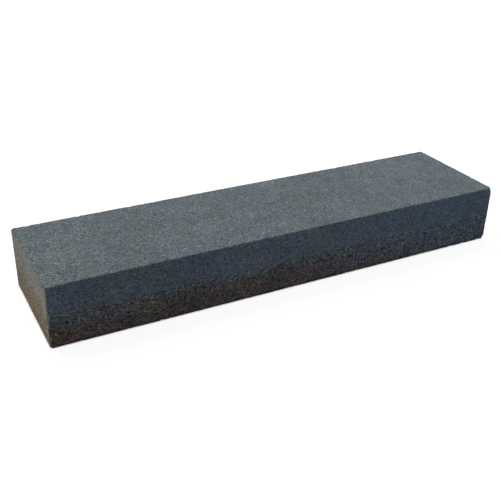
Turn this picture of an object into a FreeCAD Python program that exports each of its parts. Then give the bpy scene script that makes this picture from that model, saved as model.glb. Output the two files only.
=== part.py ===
import FreeCAD, Part
import os

import Sketcher

# A two-grit bench whetstone: a fine and a coarse abrasive slab, glued face to face by a thin resin film.
#
# It lies on its coarse face. The origin is the middle of that face, +X runs along the stone, +Y across
# it and +Z up, towards the fine face. Sizes are in millimetres.

PARTS_FOLDER = "parts"
SHEET = "Dimensions"
TOLERANCE = 1e-6

# The driving dimensions: alias, value, and what it measures.
DIMENSIONS = [
    ("stone_length", 200.0, "end face to end face"),
    ("stone_width", 50.0, "side face to side face"),
    ("stone_height", 25.0, "coarse face to fine face"),
    ("fine_height", 11.6, "thickness of the fine slab"),
    ("bond_thickness", 0.3, "resin film between the slabs"),
    ("bond_setback", 0.15, "how far the film's rim stays behind the side faces"),
    ("corner_radius", 0.6, "the four upright corners"),
    ("arris_radius", 0.4, "the eased rim of each working face"),
]


def cell(alias):
    """An expression that reads one driving dimension."""
    return f"{SHEET}.{alias}"


# What the sheet's cells leave for the coarse slab, and the film's two rims together.
COARSE_HEIGHT = f"{cell('stone_height')} - {cell('fine_height')} - {cell('bond_thickness')}"
BOTH_SETBACKS = f"2 * {cell('bond_setback')}"


def add_dimensions(doc):
    """Fills the spreadsheet, one driving dimension to a row."""
    sheet = doc.addObject("Spreadsheet::Sheet", SHEET)
    for row, (alias, value, meaning) in enumerate(DIMENSIONS, start=1):
        sheet.set(f"A{row}", alias)
        sheet.set(f"B{row}", str(value))
        sheet.set(f"C{row}", meaning)
        sheet.setAlias(f"B{row}", alias)
    doc.recompute()


def origin_plane(body, role):
    """One of the body's own origin planes."""
    return next(f for f in body.Origin.OriginFeatures if f.Role == role)


def centred_rectangle(body, name, length, width):
    """A rectangle about the origin of the body's XY plane. Both sizes are expressions."""
    sketch = body.newObject("Sketcher::SketchObject", name)
    sketch.AttachmentSupport = [(origin_plane(body, "XY_Plane"), "")]
    sketch.MapMode = "FlatFace"

    # Drawn at any size: the constraints below fix it.
    draft = 10.0
    signs = ((-1, -1), (1, -1), (1, 1), (-1, 1))
    corners = [FreeCAD.Vector(x * draft, y * draft, 0) for x, y in signs]
    sides = [Part.LineSegment(corners[i - 1], corners[i]) for i in range(4)]
    left, front, right, back = sketch.addGeometry(sides, False)

    # How a constraint names the two ends of a line, and the sketch's own origin.
    start, end = 1, 2
    sketch_origin = -1

    def constrain(*terms):
        return sketch.addConstraint(Sketcher.Constraint(*terms))

    for side, following in ((left, front), (front, right), (right, back), (back, left)):
        constrain("Coincident", side, end, following, start)
    for side in (front, back):
        constrain("Horizontal", side)
    for side in (left, right):
        constrain("Vertical", side)
    constrain("Symmetric", front, start, back, start, sketch_origin, start)

    measures = (
        ("length", "DistanceX", front, length),
        ("width", "DistanceY", right, width),
    )
    for label, direction, side, expression in measures:
        index = constrain(direction, side, start, side, end, draft)
        sketch.renameConstraint(index, label)
        sketch.setExpression(f"Constraints.{label}", expression)
    return sketch


def upright_block(doc, name, length, width, height, base_level):
    """A body padded up from a centred rectangle. All four measures are expressions."""
    body = doc.addObject("PartDesign::Body", name)
    body.Label = name
    pad = body.newObject("PartDesign::Pad", f"{name}_pad")
    pad.Profile = centred_rectangle(body, f"{name}_outline", length, width)
    body.Tip = pad
    pad.setExpression("Length", height)
    body.setExpression("Placement.Base.z", base_level)
    doc.recompute()
    return body


def round_edges(doc, body, name, is_chosen, radius):
    """Rounds those edges of the body that is_chosen picks by their bounding box."""
    base = body.Tip
    edges = [
        f"Edge{i}" for i, edge in enumerate(base.Shape.Edges, start=1) if is_chosen(edge.BoundBox)
    ]
    fillet = body.newObject("PartDesign::Fillet", f"{body.Name}_{name}")
    fillet.Base = (base, edges)
    fillet.setExpression("Radius", radius)
    doc.recompute()


def round_corners(doc, body):
    """Rounds the four upright corners."""

    def is_upright(box):
        return box.XLength < TOLERANCE and box.YLength < TOLERANCE

    round_edges(doc, body, "corners", is_upright, cell("corner_radius"))


def ease_rim(doc, body, at_top):
    """Rounds the rim of the face that sharpens, at the body's top or its bottom."""
    whole = body.Tip.Shape.BoundBox
    level = whole.ZMax if at_top else whole.ZMin

    def is_on_rim(box):
        return box.ZLength < TOLERANCE and abs(box.ZMin - level) < TOLERANCE

    round_edges(doc, body, "arris", is_on_rim, cell("arris_radius"))


def coarse_grit_stone(doc):
    """The lower slab. It sharpens with its bottom face, so the rim there is eased."""
    body = upright_block(
        doc,
        "coarse_grit_stone",
        length=cell("stone_length"),
        width=cell("stone_width"),
        height=COARSE_HEIGHT,
        base_level="0 mm",
    )
    round_corners(doc, body)
    ease_rim(doc, body, at_top=False)
    return body


def bond_layer(doc):
    """The cured resin film between the slabs, scraped back a little all round."""
    body = upright_block(
        doc,
        "bond_layer",
        length=f"{cell('stone_length')} - {BOTH_SETBACKS}",
        width=f"{cell('stone_width')} - {BOTH_SETBACKS}",
        height=cell("bond_thickness"),
        base_level=COARSE_HEIGHT,
    )
    round_corners(doc, body)
    return body


def fine_grit_stone(doc):
    """The upper slab. It sharpens with its top face, so the rim there is eased."""
    body = upright_block(
        doc,
        "fine_grit_stone",
        length=cell("stone_length"),
        width=cell("stone_width"),
        height=cell("fine_height"),
        base_level=f"{COARSE_HEIGHT} + {cell('bond_thickness')}",
    )
    round_corners(doc, body)
    ease_rim(doc, body, at_top=True)
    return body


def check(doc, bodies):
    """Stops the build unless every feature worked and each sub-part is one solid clear of the rest."""
    for item in doc.Objects:
        if {"Invalid", "Error"} & set(item.State):
            raise RuntimeError(f"{item.Name} failed: {item.State}")
    for body in bodies:
        shape = body.Shape
        if shape.isNull() or not shape.isValid() or len(shape.Solids) != 1:
            raise RuntimeError(f"{body.Label} isn't one valid solid")
    for lower, upper in zip(bodies, bodies[1:]):
        if lower.Shape.common(upper.Shape).Volume > TOLERANCE:
            raise RuntimeError(f"{lower.Label} and {upper.Label} overlap")
        if lower.Shape.distToShape(upper.Shape)[0] > TOLERANCE:
            raise RuntimeError(f"{lower.Label} and {upper.Label} don't touch")


def export(bodies):
    """Writes each sub-part to a file named by its label."""
    os.makedirs(PARTS_FOLDER, exist_ok=True)
    for body in bodies:
        body.Shape.exportStep(os.path.join(PARTS_FOLDER, f"{body.Label}.step"))
        box = body.Shape.optimalBoundingBox(False)
        print(
            f"{body.Label}: {box.XLength:.2f} x {box.YLength:.2f} x {box.ZLength:.2f} mm,"
            f" from z {box.ZMin:.2f} to {box.ZMax:.2f}, {body.Shape.Volume:.0f} mm3"
        )


def main():
    doc = FreeCAD.newDocument("whetstone")
    add_dimensions(doc)
    bodies = [coarse_grit_stone(doc), bond_layer(doc), fine_grit_stone(doc)]
    check(doc, bodies)
    export(bodies)


main()
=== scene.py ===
import itertools
import math

import bmesh
import bpy
import numpy as np
from mathutils import Matrix, Vector


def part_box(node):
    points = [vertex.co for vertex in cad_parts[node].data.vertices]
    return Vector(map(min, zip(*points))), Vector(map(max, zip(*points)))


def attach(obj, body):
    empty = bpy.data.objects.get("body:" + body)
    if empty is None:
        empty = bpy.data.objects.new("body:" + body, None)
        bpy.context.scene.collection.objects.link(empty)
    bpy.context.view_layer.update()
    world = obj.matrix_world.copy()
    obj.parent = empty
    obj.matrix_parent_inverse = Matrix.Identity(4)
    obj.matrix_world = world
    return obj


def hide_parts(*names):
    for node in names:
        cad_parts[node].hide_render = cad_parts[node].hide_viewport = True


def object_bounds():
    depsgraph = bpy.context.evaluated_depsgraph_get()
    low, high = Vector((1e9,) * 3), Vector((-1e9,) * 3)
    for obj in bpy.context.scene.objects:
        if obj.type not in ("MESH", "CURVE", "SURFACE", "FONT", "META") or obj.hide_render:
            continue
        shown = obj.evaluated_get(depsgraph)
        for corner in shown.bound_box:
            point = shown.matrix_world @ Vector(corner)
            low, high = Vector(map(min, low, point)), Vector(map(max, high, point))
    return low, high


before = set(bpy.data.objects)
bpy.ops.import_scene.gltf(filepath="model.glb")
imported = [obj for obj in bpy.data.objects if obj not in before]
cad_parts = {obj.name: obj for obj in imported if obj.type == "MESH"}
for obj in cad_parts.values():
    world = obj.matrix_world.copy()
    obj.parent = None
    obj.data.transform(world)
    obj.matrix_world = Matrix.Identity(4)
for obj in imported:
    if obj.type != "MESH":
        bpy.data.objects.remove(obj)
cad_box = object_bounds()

# A two-grit bench whetstone in its CAD frame: origin under the middle of the stone, +X along it, +Y
# across it, +Z up. Blender works in metres, and MM turns the millimetres below into metres.
MM = 0.001

FINE, FILM, COARSE = "fine_grit_stone", "bond_layer", "coarse_grit_stone"

# ---------------------------------------------------------------- shape of a slab
CORNER_RADIUS = 0.6 * MM
WORKING_ARRIS = 0.4 * MM
BONDED_ARRIS = 0.08 * MM

# The skin is laid out by rays that fan out round the rims from a core this deep under the faces.
CORE_DEPTH = 3.0 * MM
MARCH_STEPS = 16

# Steps of the skin's grid: small beside the rims, and wider along and across the stone.
RIM_STEP = 0.12 * MM
STEP_GROWTH = 1.28
STEP_ALONG = 0.42 * MM
STEP_ACROSS = 0.62 * MM
STEP_UP = 0.55 * MM
BONDED_BORDER = 1.5 * MM
SHARP_ANGLE = math.radians(38)
FLAT = 0.001 * MM
WORN_AND_SHADED = "worn_and_shaded"

# Random values at the corners of a grid, which primes pick for each corner and each seed.
NOISE_TABLE = np.random.default_rng(5).uniform(-1, 1, 8192)
CORNER_PRIMES = np.array((73856093, 19349663, 83492791))
SEED_PRIME = 7919


def noise(points, size, seed):
    """Smooth noise from -1 to 1 at each point, with bumps about size across."""
    cell = points / size
    base = np.floor(cell).astype(np.int64)
    blend = cell - base
    blend = blend * blend * (3 - 2 * blend)
    total = np.zeros(len(points))
    for corner in itertools.product((0, 1), repeat=3):
        weight = np.where(corner, blend, 1 - blend).prod(axis=1)
        place = (base + np.array(corner)) @ CORNER_PRIMES + seed * SEED_PRIME
        total += weight * NOISE_TABLE[place % len(NOISE_TABLE)]
    return total


def graded(low, high, widest):
    """Levels from low to high, close together at both ends and at most widest apart between."""
    steps = [RIM_STEP]
    while sum(steps) < (high - low) / 2:
        steps.append(min(steps[-1] * STEP_GROWTH, widest))
    climb = np.concatenate(([0], np.cumsum(steps)))
    climb *= (high - low) / 2 / climb[-1]
    return np.concatenate((low + climb, high - climb[-2::-1]))


def box_skin(xs, ys, zs):
    """Points and quads of a closed box whose six sides are grids on the given levels."""
    shape = (len(xs), len(ys), len(zs))
    on_skin = np.zeros(shape, bool)
    on_skin[[0, -1]] = on_skin[:, [0, -1]] = on_skin[:, :, [0, -1]] = True
    ids = np.zeros(shape, int)
    ids[on_skin] = np.arange(on_skin.sum())
    points = np.stack(np.meshgrid(xs, ys, zs, indexing="ij"), axis=-1)[on_skin]

    def quads(sheet, turned):
        corners = (sheet[:-1, :-1], sheet[1:, :-1], sheet[1:, 1:], sheet[:-1, 1:])
        if turned:
            corners = corners[::-1]
        return np.stack(corners, axis=-1).reshape(-1, 4)

    sides = (
        (ids[0], True),
        (ids[-1], False),
        (ids[:, 0], False),
        (ids[:, -1], True),
        (ids[:, :, 0], True),
        (ids[:, :, -1], False),
    )
    return points, np.concatenate([quads(sheet, turned) for sheet, turned in sides])


class Slab:
    """One abrasive slab: its box in the CAD frame, and which of its flat faces sharpens."""

    def __init__(self, node, works_upward):
        low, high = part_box(node)
        self.low = np.array(low)
        self.high = np.array(high)
        self.centre = (self.low + self.high) / 2
        self.half = (self.high - self.low) / 2
        self.up = 1 if works_upward else -1
        self.working_z = self.high[2] if works_upward else self.low[2]
        self.bonded_z = self.low[2] if works_upward else self.high[2]

    def distance(self, points):
        """Distance from the slab's smooth surface, with its corners and arrises rounded."""
        near_working = (points[:, 2] - self.centre[2]) * self.up > 0
        arris = np.where(near_working, WORKING_ARRIS, BONDED_ARRIS)
        inset = np.abs(points - self.centre) - self.half
        plan = inset[:, :2] + CORNER_RADIUS
        outline = rounded(plan) - CORNER_RADIUS
        section = np.stack((outline + arris, inset[:, 2] + arris), axis=1)
        return rounded(section) - arris

    def from_rims(self, surface):
        """How far each point of the surface is from the working rim and from the nearest upright one."""
        nearest_side, from_upright = np.sort((self.half - np.abs(surface - self.centre))[:, :2], axis=1).T
        from_working_rim = np.maximum(nearest_side, np.abs(surface[:, 2] - self.working_z))
        return from_working_rim, from_upright

    def edges(self):
        """The working rim's four edges and the four upright ones: start, end and outward diagonal."""
        x0, y0 = self.low[:2]
        x1, y1 = self.high[:2]
        plan = ((x0, y0), (x1, y0), (x1, y1), (x0, y1))
        facing = ((0, -1), (1, 0), (0, 1), (-1, 0))
        rim = [
            ((*plan[i], self.working_z), (*plan[(i + 1) % 4], self.working_z), (*facing[i], self.up))
            for i in range(4)
        ]
        upright = [
            ((*plan[i], self.bonded_z), (*plan[i], self.working_z), (*np.add(facing[i - 1], facing[i]), 0))
            for i in range(4)
        ]
        return rim, upright


def rounded(pair):
    """Length of the outward part of each pair of distances, or the larger one where both are inward."""
    return np.linalg.norm(np.maximum(pair, 0), axis=1) + np.minimum(pair.max(axis=1), 0)


# ---------------------------------------------------------------- wear
# A chip is a ball's ragged scoop. Its bite is a share of the deepest, from SHALLOWEST up and mostly
# small. Its radius is so many bites.
SHALLOWEST = 0.15
CHIP_SPREAD = (1.8, 5)
CHIP_TILT = 0.25
CHIP_RAGGEDNESS = 0.22
RAGGED_SIZE = 0.45 * MM
RIM_BITE = 0.45 * MM
UPRIGHT_BITE = 0.5 * MM

# How many chips there are to a millimetre of edge.
RIM_CHIPS = 0.45
UPRIGHT_CHIPS = 0.7

# A worn corner is one broad scoop of so many bites. It starts this share of the radius inside the corner.
SCOOP_SPREAD = 3.5
CORNER_INSET = 0.45

# Depth of the relief, and how far in from a rim it crumbles.
CRUMBLE_DEPTH = 0.16 * MM
CRUMBLE_WIDTH = 0.55 * MM
GRAIN_DEPTH = 0.014 * MM
WAVE_DEPTH = 0.02 * MM

# A chip this deep is wholly darkened, by dirt and painted shade. The upright rims are darkened the same way
# over UPRIGHT_WIDTH, and not as much.
DIRTY_AND_SHADED_DEPTH = 0.1 * MM
UPRIGHT_DIRT_AND_SHADE = 0.6
UPRIGHT_WIDTH = 0.35 * MM

# The face that is glued stays flat, with no dirt or painted shade, and wear sets in this far from it.
SEALED_DEPTH = 0.3 * MM

# How far inside a rounded edge's sharp one its surface is, in radii.
EDGE_INSET = math.sqrt(2) - 1


def chips_along(rng, start, end, outward, inset, per_mm, deepest):
    """Scoops along an edge, many small and few large: centre and radius of each."""
    start, end, outward = (np.array(v, float) for v in (start, end, outward))
    outward /= np.linalg.norm(outward)
    count = int(np.linalg.norm(end - start) / MM * per_mm)
    for _ in range(count):
        bite = deepest * (SHALLOWEST + (1 - SHALLOWEST) * rng.random() ** 4)
        radius = bite * rng.uniform(*CHIP_SPREAD)
        tilt = outward + rng.normal(0, CHIP_TILT, 3)
        place = start + (end - start) * rng.random() - outward * inset
        yield place + tilt / np.linalg.norm(tilt) * (radius - bite), radius


def corner_scoop(slab, side_x, side_y, bite):
    """A broad scoop off one corner of the working face: centre and radius."""
    corner = slab.centre + slab.half * (side_x, side_y, slab.up)
    outward = np.array((side_x, side_y, slab.up)) / math.sqrt(3)
    radius = SCOOP_SPREAD * bite
    return corner + outward * (radius - bite - CORNER_INSET * CORNER_RADIUS), radius


def all_chips(slab, wear, corners, seed):
    """The scoops broken out of the slab's rims and corners: centre and radius of each."""
    rng = np.random.default_rng(seed)
    rim, upright = slab.edges()
    chips = []
    for edge in rim:
        chips += chips_along(rng, *edge, WORKING_ARRIS * EDGE_INSET, RIM_CHIPS, RIM_BITE * wear)
    for edge in upright:
        chips += chips_along(rng, *edge, CORNER_RADIUS * EDGE_INSET, UPRIGHT_CHIPS, UPRIGHT_BITE * wear)
    return chips + [corner_scoop(slab, *corner) for corner in corners]


def fan_out(slab):
    """Rays from the slab's core to its smooth surface: their starts, directions and lengths, and quads."""
    points, quads = box_skin(
        graded(slab.low[0], slab.high[0], STEP_ALONG),
        graded(slab.low[1], slab.high[1], STEP_ACROSS),
        graded(slab.low[2], slab.high[2], STEP_UP),
    )
    core = np.clip(points, slab.low + CORE_DEPTH, slab.high - CORE_DEPTH)
    ray = points - core
    reach = np.linalg.norm(ray, axis=1)
    ray /= reach[:, None]
    for _ in range(MARCH_STEPS):
        reach -= slab.distance(core + ray * reach[:, None])
    return core, ray, reach, quads


def cut_chips(core, ray, smooth_reach, surface, chips, seed):
    """How far each ray gets before it enters a chip. surface is where the rays end without chips."""
    ragged = noise(surface, RAGGED_SIZE, seed + 1)
    reach = smooth_reach.copy()
    for centre, radius in chips:
        near = np.flatnonzero(np.abs(surface - centre).max(axis=1) < radius * 1.5)
        scoop = radius * (1 + CHIP_RAGGEDNESS * ragged[near])
        to_centre = centre - core[near]
        along = (to_centre * ray[near]).sum(axis=1)
        chord = scoop**2 - ((to_centre**2).sum(axis=1) - along**2)
        entry = np.where(chord > 0, along - np.sqrt(np.maximum(chord, 0)), np.inf)
        reach[near] = np.minimum(reach[near], np.maximum(entry, 0.3 * CORE_DEPTH))
    return reach


def relief(surface, from_rim, rough, wear, seed):
    """How deep the crumbled rims, the open grain and the slight waves of a pressed block are."""
    patchy = 0.35 + 0.8 * noise(surface, 0.7 * MM, seed + 2) + 0.5 * noise(surface, 3 * MM, seed + 3)
    crumble = np.exp(-((from_rim / CRUMBLE_WIDTH) ** 2)) * np.clip(patchy, 0, 2)
    grain = 1 + noise(surface, 0.9 * MM, seed + 4)
    waves = 1 + noise(surface, 14 * MM, seed + 5)
    return CRUMBLE_DEPTH * wear * crumble + GRAIN_DEPTH * rough * grain + WAVE_DEPTH * waves


def rim_dirt_and_shade(surface, from_working_rim, from_upright, dirt_and_shade_width, seed):
    """How dark dirt from rubbing and painted shade make each point, from 0 to 1: most on the rims, and in
    patches.
    """
    rubbed_and_shaded = np.exp(-((from_working_rim / dirt_and_shade_width) ** 2))
    rubbed_and_shaded = np.maximum(rubbed_and_shaded, UPRIGHT_DIRT_AND_SHADE * np.exp(-((from_upright / UPRIGHT_WIDTH) ** 2)))
    return rubbed_and_shaded * np.clip(0.85 + 0.35 * noise(surface, 2.5 * MM, seed + 6), 0, 1)


def slab_skin(slab, rough, wear, dirt_and_shade_width, corners, seed):
    """The slab's surface after wear: points, quads, and how dark dirt and painted shade make each point,
    from 0 to 1.

    rough scales its relief, and wear the crumbling of its rims, which are darkened by dirt and painted shade
    over the given width.
    """
    core, ray, smooth_reach, quads = fan_out(slab)
    surface = core + ray * smooth_reach[:, None]
    from_working_rim, from_upright = slab.from_rims(surface)
    from_rim = np.minimum(from_working_rim, from_upright)
    open_air = np.clip(np.abs(surface[:, 2] - slab.bonded_z) / SEALED_DEPTH, 0, 1)

    reach = cut_chips(core, ray, smooth_reach, surface, all_chips(slab, wear, corners, seed), seed)
    broken = np.clip((smooth_reach - reach) / DIRTY_AND_SHADED_DEPTH, 0, 1)
    rubbed_and_shaded = rim_dirt_and_shade(surface, from_working_rim, from_upright, dirt_and_shade_width, seed)
    reach -= relief(surface, from_rim, rough, wear, seed) * open_air
    return core + ray * reach[:, None], quads, np.maximum(broken, rubbed_and_shaded) * open_air


def mesh_piece(name, points, faces, node, material):
    """A piece of the visual model that stands for one CAD node."""
    mesh = bpy.data.meshes.new(name)
    mesh.from_pydata(points.tolist(), [], faces)
    mesh.shade_smooth()
    mesh.set_sharp_from_angle(angle=SHARP_ANGLE)
    piece = bpy.data.objects.new(name, mesh)
    bpy.context.scene.collection.objects.link(piece)
    mesh.materials.append(material)
    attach(piece, "root")
    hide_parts(node)
    return piece


def merge_bonded_face(piece, slab):
    """Makes one face of the flat grid that is glued, away from its border."""
    edit = bmesh.new()
    edit.from_mesh(piece.data)
    hidden = []
    for face in edit.faces:
        centre = np.array(face.calc_center_median())
        from_side = (slab.half - np.abs(centre - slab.centre))[:2].min()
        if abs(centre[2] - slab.bonded_z) < FLAT and from_side > BONDED_BORDER:
            hidden.append(face)
    bmesh.ops.dissolve_faces(edit, faces=hidden, use_verts=True)
    edit.to_mesh(piece.data)
    edit.free()


def build_slab(name, node, works_upward, material, rough, wear, dirt_and_shade_width, corners, seed):
    """A slab's piece. corners are the ones with the most wear: side along X, side along Y, and depth."""
    slab = Slab(node, works_upward)
    points, quads, worn_and_shaded = slab_skin(slab, rough, wear, dirt_and_shade_width, corners, seed)
    piece = mesh_piece(name, points, quads.tolist(), node, material)
    piece.data.attributes.new(WORN_AND_SHADED, "FLOAT", "POINT").data.foreach_set("value", worn_and_shaded)
    merge_bonded_face(piece, slab)


# ---------------------------------------------------------------- resin film
# How far the film stands out from its CAD box at each level of its rim, and how unevenly.
FILM_BULGE = np.array((0.03, 0.09, 0.11, 0.08, 0.03)) * MM
FILM_RAGGEDNESS = 0.03 * MM
FILM_STEP = 0.5 * MM
CORNER_STEPS = 6


def rounded_outline(middle, half):
    """Points round a rectangle with rounded corners, and the way that each faces."""
    signs = np.array(((1, 1), (-1, 1), (-1, -1), (1, -1)))
    centres = middle + (half - CORNER_RADIUS) * signs
    points = []
    facing = []
    for turn, centre in enumerate(centres):
        for angle in np.linspace(0, math.pi / 2, CORNER_STEPS) + turn * math.pi / 2:
            facing.append((math.cos(angle), math.sin(angle)))
            points.append(centre + CORNER_RADIUS * np.array(facing[-1]))
        run = centres[(turn + 1) % 4] - centre
        count = int(np.linalg.norm(run) / FILM_STEP)
        begin = points[-1]
        for share in np.arange(1, count) / count:
            facing.append(facing[-1])
            points.append(begin + run * share)
    return np.array(points), np.array(facing)


def build_film(name, node, material):
    """The film between the slabs, with its uneven rim: a stack of outlines, and a fan over each end."""
    low, high = (np.array(corner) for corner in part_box(node))
    middle = (low + high)[:2] / 2
    outline, facing = rounded_outline(middle, (high - low)[:2] / 2)
    size = len(outline)
    loops = []
    for level, bulge in zip(np.linspace(low[2], high[2], len(FILM_BULGE)), FILM_BULGE):
        loop = np.column_stack((outline, np.full(size, level)))
        ragged = FILM_RAGGEDNESS * (noise(loop, 1.5 * MM, seed=31) + noise(loop, 6 * MM, seed=32))
        loop[:, :2] += facing * (bulge + ragged)[:, None]
        loops.append(loop)
    hubs = [(*middle, low[2]), (*middle, high[2])]
    ids = np.arange(len(loops) * size).reshape(-1, size)
    following = np.roll(ids, -1, axis=1)
    under, over = (np.full(size, ids.size + end) for end in (0, 1))
    faces = np.stack((under, following[0], ids[0]), axis=1).tolist()
    faces += np.stack((over, ids[-1], following[-1]), axis=1).tolist()
    for lower in range(len(loops) - 1):
        ring = (ids[lower], following[lower], following[lower + 1], ids[lower + 1])
        faces += np.stack(ring, axis=1).tolist()
    mesh_piece(name, np.concatenate((*loops, hubs)), faces, node, material)


# ---------------------------------------------------------------- materials
WHITE = (1, 1, 1, 1)

# A noise node's output seldom leaves this range.
NOISE_RANGE = (0.3, 0.7)


class Graph:
    """A material's node tree. Each method but finished adds a node and returns an output of it."""

    def __init__(self, name):
        self.material = bpy.data.materials.new(name)
        self.material.use_nodes = True
        self.tree = self.material.node_tree
        self.tree.nodes.clear()

    def add(self, kind, inputs, output=0, **settings):
        node = self.tree.nodes.new(kind)
        for key, value in settings.items():
            setattr(node, key, value)
        for key, value in inputs.items():
            if isinstance(value, bpy.types.NodeSocket):
                self.tree.links.new(value, node.inputs[key])
            else:
                node.inputs[key].default_value = value
        return node.outputs[output]

    def place(self):
        """The point's place in the CAD frame, in millimetres."""
        metres = self.add("ShaderNodeTexCoord", {}, "Object")
        return self.scaled(metres, 1 / MM)

    def vector(self, operation, *terms, output="Vector"):
        return self.add("ShaderNodeVectorMath", dict(enumerate(terms)), output, operation=operation)

    def scaled(self, vector, gain):
        return self.add("ShaderNodeVectorMath", {0: vector, "Scale": gain}, operation="SCALE")

    def math(self, operation, a, b):
        return self.add("ShaderNodeMath", {0: a, 1: b}, operation=operation)

    def remap(self, value, low, high, to_low, to_high, smooth=False):
        inputs = {"Value": value, "From Min": low, "From Max": high, "To Min": to_low, "To Max": to_high}
        kind = "SMOOTHSTEP" if smooth else "LINEAR"
        return self.add("ShaderNodeMapRange", inputs, interpolation_type=kind)

    def noise(self, vector, size_mm, detail, output="Fac"):
        inputs = {"Vector": vector, "Scale": 1 / size_mm, "Detail": detail, "Roughness": 0.55}
        return self.add("ShaderNodeTexNoise", inputs, output)

    def drift(self, vector, size_mm, detail, middle, spread):
        """A smooth drift up to spread either side of middle."""
        noise = self.noise(vector, size_mm, detail)
        return self.remap(noise, *NOISE_RANGE, middle - spread, middle + spread)

    def tinge(self, vector, size_mm, amount):
        """A colour near white that drifts in hue, to multiply with."""
        hue = self.noise(vector, size_mm, detail=1.0, output="Color")
        return self.vector("MULTIPLY_ADD", hue, (2 * amount,) * 3, (1 - amount,) * 3)

    def cells(self, vector, size_mm, output="Color"):
        return self.add("ShaderNodeTexVoronoi", {"Vector": vector, "Scale": 1 / size_mm}, output)

    def channel(self, colour, index):
        return self.add("ShaderNodeSeparateColor", {0: colour}, index)

    def axis(self, vector, index):
        return self.add("ShaderNodeSeparateXYZ", {0: vector}, index)

    def mix(self, factor, a, b, blend="MIX"):
        inputs = {0: factor, 6: a, 7: b}
        return self.add("ShaderNodeMix", inputs, 2, data_type="RGBA", blend_type=blend)

    def times(self, a, b):
        return self.mix(1.0, a, b, "MULTIPLY")

    def ramp(self, value, stops):
        """A grey for each value, between stops of a place and a grey."""
        output = self.add("ShaderNodeValToRGB", {0: value})
        elements = output.node.color_ramp.elements
        while len(elements) < len(stops):
            elements.new(0.5)
        for element, (place, grey) in zip(elements, stops):
            element.position = place
            element.color = (grey, grey, grey, 1)
        return output

    def bump(self, height, strength, depth):
        return self.add("ShaderNodeBump", {"Height": height, "Strength": strength, "Distance": depth})

    def finished(self, inputs):
        """Makes the surface shader from its inputs, and returns the material."""
        surface = self.add("ShaderNodeBsdfPrincipled", inputs)
        output = self.tree.nodes.new("ShaderNodeOutputMaterial")
        self.tree.links.new(surface, output.inputs["Surface"])
        return self.material


def grains(g, mm, size, contrast):
    """Packed grains in a binder with finer dust: their shade, their relief, and one random pick a grain."""
    bend = g.noise(mm, 0.9 * size, detail=1.0, output="Color")
    bent = g.vector("MULTIPLY_ADD", bend, (0.35 * size,) * 3, mm)
    grain = g.cells(bent, size)
    from_middle = grain.node.outputs["Distance"]
    pick = g.channel(grain, 0)
    dust = g.channel(g.cells(mm, 0.45 * size), 0)

    # Most grains are near the body's shade, with a few dark ones standing for painted shade in pores and a
    # few bright ones for painted glints.
    stops = [
        (0.0, 1 - 2.1 * contrast),
        (0.08, 1 - contrast),
        (0.5, 1.0),
        (0.92, 1 + contrast),
        (1.0, 1 + 2.6 * contrast),
    ]
    shade = g.ramp(pick, stops)
    shade = g.scaled(shade, g.remap(dust, 0.0, 1.0, 1 - 0.6 * contrast, 1 + 0.6 * contrast))
    # Each grain darkens towards its rim: partly binder, partly painted shade in the gaps between grains.
    shade = g.scaled(shade, g.remap(from_middle, 0.25, 0.75, 1.07, 0.8))

    # Each grain is a facet tilted its own way, with pits where binder is missing.
    inside = g.vector("SUBTRACT", bent, grain.node.outputs["Position"])
    lean = g.vector("SUBTRACT", grain, (0.5,) * 3)
    facet = g.vector("DOT_PRODUCT", lean, inside, output="Value")
    pits = g.remap(g.cells(mm, 1.7 * size, "Distance"), 0.05, 0.3, 0.0, 1.0, smooth=True)
    relief = g.math("MULTIPLY", facet, 1.5 / size)
    for part, share in ((pick, 0.22), (from_middle, -0.3), (dust, 0.08), (pits, 0.13)):
        relief = g.math("ADD", relief, g.math("MULTIPLY", part, share))
    return shade, relief, pick


def seam_dust(g, mm, toward_seam):
    """How far dust of the other grit covers this one: it was smeared there when the sides were ground."""
    from_seam = g.math("MULTIPLY", g.math("SUBTRACT", g.axis(mm, 2), JOINT_LEVEL), toward_seam)
    ragged = g.math("ADD", from_seam, g.drift(mm, size_mm=3.0, detail=3.0, middle=0.0, spread=1.2))
    return g.remap(ragged, -0.5, 3.0, 0.9, 0.0, smooth=True)


def low_tint_and_shade(g, mm):
    """How far the sides brown and darken towards the bottom, partly a tint of the stone and partly painted
    shade: lowest down most, and less towards the +X end.
    """
    x, y, z = (g.axis(mm, index) for index in range(3))
    height = g.math("ADD", z, g.drift(mm, size_mm=8.0, detail=2.0, middle=0.0, spread=2.0))

    # It sets in lower towards the +X end, and the -X end's face and the back face have less of it.
    height = g.math("ADD", height, g.remap(x, 0.0, 70.0, 0.0, 9.5))
    tint_and_shade = g.remap(height, 15.5, 4.0, 0.0, 1.0)
    tint_and_shade = g.math("MULTIPLY", tint_and_shade, g.remap(x, -99.8, -99.0, 0.8, 1.0))
    return g.math("MULTIPLY", tint_and_shade, g.remap(y, 24.8, 24.0, 0.6, 1.0))


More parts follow.
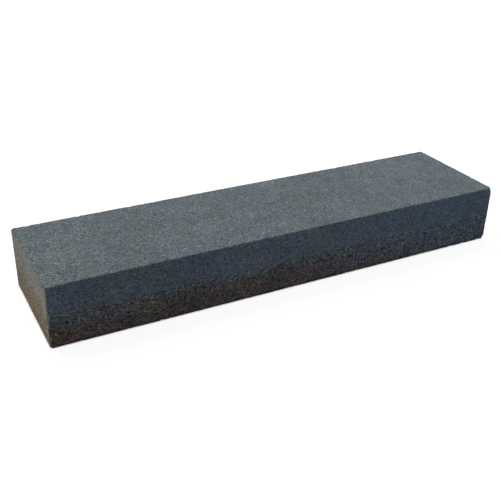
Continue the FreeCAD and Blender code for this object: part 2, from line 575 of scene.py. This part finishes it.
def abrasive(name, body, grain_mm, contrast, tinge, dirt_and_shade, toward_seam):
    """Fired abrasive: grains of mixed shade, darker at the rims and in chips from dirt and painted shade,
    and browner and darker low down, partly from painted shade.
    """
    g = Graph(name)
    mm = g.place()
    shade, relief, pick = grains(g, mm, grain_mm, contrast)
    colour = g.times((*body, 1), g.tinge(mm, size_mm=7.0, amount=tinge))
    colour = g.mix(seam_dust(g, mm, toward_seam), colour, (*JOINT, 1))
    colour = g.times(colour, shade)
    colour = g.scaled(colour, g.drift(mm, size_mm=16.0, detail=2.0, middle=1.0, spread=0.1))
    colour = g.scaled(colour, g.drift(mm, size_mm=6.0, detail=1.0, middle=1.0, spread=0.06))
    # Browner and darker towards the bottom: partly a tint of the stone, partly painted shade.
    colour = g.times(colour, g.mix(low_tint_and_shade(g, mm), WHITE, (*LOW_TINT_AND_SHADE, 1)))
    # Darker on the rims and in chips: partly dirt, partly painted shade.
    worn_and_shaded = g.add("ShaderNodeAttribute", {}, "Fac", attribute_name=WORN_AND_SHADED)
    colour = g.scaled(colour, g.remap(worn_and_shaded, 0.0, 1.0, 1.0, 1 - dirt_and_shade))

    # Only a few grains have a facet that shines.
    inputs = {
        "Base Color": colour,
        "Roughness": g.remap(pick, 0.9, 1.0, 0.88, 0.45),
        "Normal": g.bump(relief, 0.8, 0.3 * grain_mm * MM),
        "Specular IOR Level": 0.3,
    }
    return g.finished(inputs)


def resin(name, body, dust_mm):
    """Cured resin full of abrasive dust, ground off level with the slabs."""
    g = Graph(name)
    mm = g.place()
    dust = g.channel(g.cells(mm, dust_mm), 0)
    patches = g.drift(mm, size_mm=5.0, detail=3.0, middle=1.0, spread=0.15)
    shade = g.math("MULTIPLY", g.remap(dust, 0.0, 1.0, 0.7, 1.3), patches)
    inputs = {
        "Base Color": g.scaled(body, shade),
        "Roughness": g.remap(dust, 0.8, 1.0, 0.8, 0.5),
        "Normal": g.bump(dust, 0.7, 0.1 * dust_mm * MM),
        "Specular IOR Level": 0.35,
    }
    return g.finished(inputs)


# ---------------------------------------------------------------- the stone
FINE_BODY = (0.133, 0.147, 0.155)
COARSE_BODY = (0.124, 0.127, 0.124)
JOINT = tuple((fine + coarse) / 2 for fine, coarse in zip(FINE_BODY, COARSE_BODY))
LOW_TINT_AND_SHADE = (0.95, 0.64, 0.47)

film_low, film_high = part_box(FILM)
JOINT_LEVEL = (film_low.z + film_high.z) / 2 / MM

build_slab(
    "fine_slab",
    FINE,
    works_upward=True,
    material=abrasive(
        "fine_abrasive", FINE_BODY, grain_mm=0.46, contrast=0.32, tinge=0.165, dirt_and_shade=0.28, toward_seam=1
    ),
    rough=1.0,
    wear=0.8,
    dirt_and_shade_width=0.35 * MM,
    corners=((-1, 1, 0.5 * MM), (1, 1, 0.5 * MM), (1, -1, 1.2 * MM)),
    seed=11,
)
# The coarse slab's bottom rim is darkened widest and most: dirt, and painted shade where it meets the floor.
build_slab(
    "coarse_slab",
    COARSE,
    works_upward=False,
    material=abrasive(
        "coarse_abrasive", COARSE_BODY, grain_mm=0.57, contrast=0.53, tinge=0.2, dirt_and_shade=0.7, toward_seam=-1
    ),
    rough=1.6,
    wear=0.75,
    dirt_and_shade_width=1.1 * MM,
    corners=((1, -1, 1.0 * MM), (-1, -1, 0.6 * MM), (1, 1, 0.5 * MM)),
    seed=23,
)
build_film("resin_film", FILM, resin("bond_resin", JOINT, dust_mm=0.4))


# ---------------------------------------------------------------- stage
FLOOR_RADIUS = 3.0
FLOOR_DROP = 0.02 * MM
CONTACT_SHADOW = 0.8 * MM
PAPER = 0.3
PAPER_GLOW = (0.985, 0.99, 0.995, 1)
SENSOR_WIDTH = 36
FARTHEST_SEEN = 20


def build_floor():
    """A plain white floor. It throws no light back on the stone, as if black cards stood round it."""
    edit = bmesh.new()
    bmesh.ops.create_circle(edit, cap_ends=True, segments=96, radius=FLOOR_RADIUS)
    mesh = bpy.data.meshes.new("studio_floor")
    edit.to_mesh(mesh)
    edit.free()
    floor = bpy.data.objects.new("studio_floor", mesh)
    floor.location.z = cad_box[0][2] - FLOOR_DROP
    bpy.context.scene.collection.objects.link(floor)

    # White paper, lit evenly from beneath, a little less so near the stone, with a painted contact shadow
    # where it touches.
    g = Graph("floor_white")
    mm = g.place()
    painted_contact_shadow = g.add("ShaderNodeAmbientOcclusion", {"Distance": CONTACT_SHADOW}, "AO")
    painted_contact_shadow = g.remap(painted_contact_shadow, 0.3, 0.9, 0.5, 1.0)
    mottled = g.drift(mm, size_mm=50.0, detail=2.0, middle=PAPER, spread=0.01)
    paper = g.math("MULTIPLY", painted_contact_shadow, mottled)
    from_stone = g.vector("LENGTH", mm, output="Value")
    glow = g.math("MULTIPLY", painted_contact_shadow, g.remap(from_stone, 120.0, 500.0, 0.82, 1.0))
    inputs = {
        "Base Color": g.scaled((1, 1, 1), paper),
        "Roughness": 1.0,
        "Specular IOR Level": 0.0,
        "Emission Color": PAPER_GLOW,
        "Emission Strength": glow,
    }
    mesh.materials.append(g.finished(inputs))
    floor.visible_diffuse = False
    floor.visible_glossy = False


def build_sun(name, toward, colour, spread_degrees, shadow=True):
    """A very soft light from far off. colour is what a white surface facing it would show."""
    data = bpy.data.lights.new(name, "SUN")
    strength = max(colour)
    data.energy = strength * math.pi
    data.color = tuple(channel / strength for channel in colour)
    data.angle = math.radians(spread_degrees)
    data.use_shadow = shadow
    light = bpy.data.objects.new(name, data)
    light.rotation_euler = Vector(toward).to_track_quat("Z", "Y").to_euler()
    bpy.context.scene.collection.objects.link(light)


def build_softbox(name, place, size, colour):
    """A square soft light aimed at the stone. colour is what a white surface facing it would show."""
    data = bpy.data.lights.new(name, "AREA")
    data.size = size
    strength = max(colour)
    place = Vector(place)
    data.energy = strength * math.pi**2 * place.length_squared
    data.color = tuple(channel / strength for channel in colour)
    light = bpy.data.objects.new(name, data)
    light.location = place
    light.rotation_euler = place.to_track_quat("Z", "Y").to_euler()
    light.visible_camera = False
    bpy.context.scene.collection.objects.link(light)


def build_world(ambient):
    """White behind the floor, and a weak even light everywhere else."""
    world = bpy.data.worlds.new("studio")
    world.use_nodes = True
    tree = world.node_tree
    tree.nodes.clear()
    seen = tree.nodes.new("ShaderNodeLightPath")
    mix = tree.nodes.new("ShaderNodeMix")
    mix.data_type = "RGBA"
    mix.inputs[6].default_value = (*ambient, 1)
    mix.inputs[7].default_value = WHITE
    background = tree.nodes.new("ShaderNodeBackground")
    output = tree.nodes.new("ShaderNodeOutputWorld")
    tree.links.new(seen.outputs["Is Camera Ray"], mix.inputs[0])
    tree.links.new(mix.outputs[2], background.inputs["Color"])
    tree.links.new(background.outputs["Background"], output.inputs["Surface"])
    bpy.context.scene.world = world


def build_camera(azimuth, elevation, roll, distance, slide, lift, lens):
    """Looks at the stone's middle from azimuth and elevation, then slides sideways and up."""
    azimuth, elevation, roll = (math.radians(angle) for angle in (azimuth, elevation, roll))
    level = math.cos(elevation)
    back = Vector((math.sin(azimuth) * level, -math.cos(azimuth) * level, math.sin(elevation)))
    right = Vector((0, 0, 1)).cross(back).normalized()
    turn = Matrix.Rotation(roll, 3, back)
    right = turn @ right
    up = back.cross(right)
    data = bpy.data.cameras.new("camera")
    data.sensor_width = SENSOR_WIDTH
    data.lens = lens
    data.clip_end = FARTHEST_SEEN
    camera = bpy.data.objects.new("camera", data)
    middle = (Vector(cad_box[0]) + Vector(cad_box[1])) / 2
    place = middle + back * distance + right * slide + up * lift
    axes = Matrix((right, up, back)).transposed()
    camera.matrix_world = Matrix.Translation(place) @ axes.to_4x4()
    bpy.context.scene.collection.objects.link(camera)
    bpy.context.scene.camera = camera


build_floor()
build_world(ambient=(0.10, 0.12, 0.15))
build_sun("warm_key", (-0.93, 0.20, 0.30), (1.05, 0.93, 0.73), 40, shadow=False)
build_softbox("cool_top", (0.00, 0.54, 0.62), 0.9, (0.675, 0.79, 0.865))
build_softbox("far_fill", (0.80, 0.50, 0.12), 0.6, (0.30, 0.33, 0.36))
build_softbox("warm_fill", (-0.50, -0.60, 0.30), 0.5, (0.130, 0.104, 0.069))
build_softbox("blue_fill", (0.50, -0.60, 0.30), 0.5, (0.106, 0.184, 0.303))
build_camera(
    azimuth=-28.22,
    elevation=28.15,
    roll=1.33,
    distance=328.7 * MM,
    slide=-7.21 * MM,
    lift=-6.95 * MM,
    lens=55.95,
)
bpy.context.scene.view_settings.view_transform = "Standard"
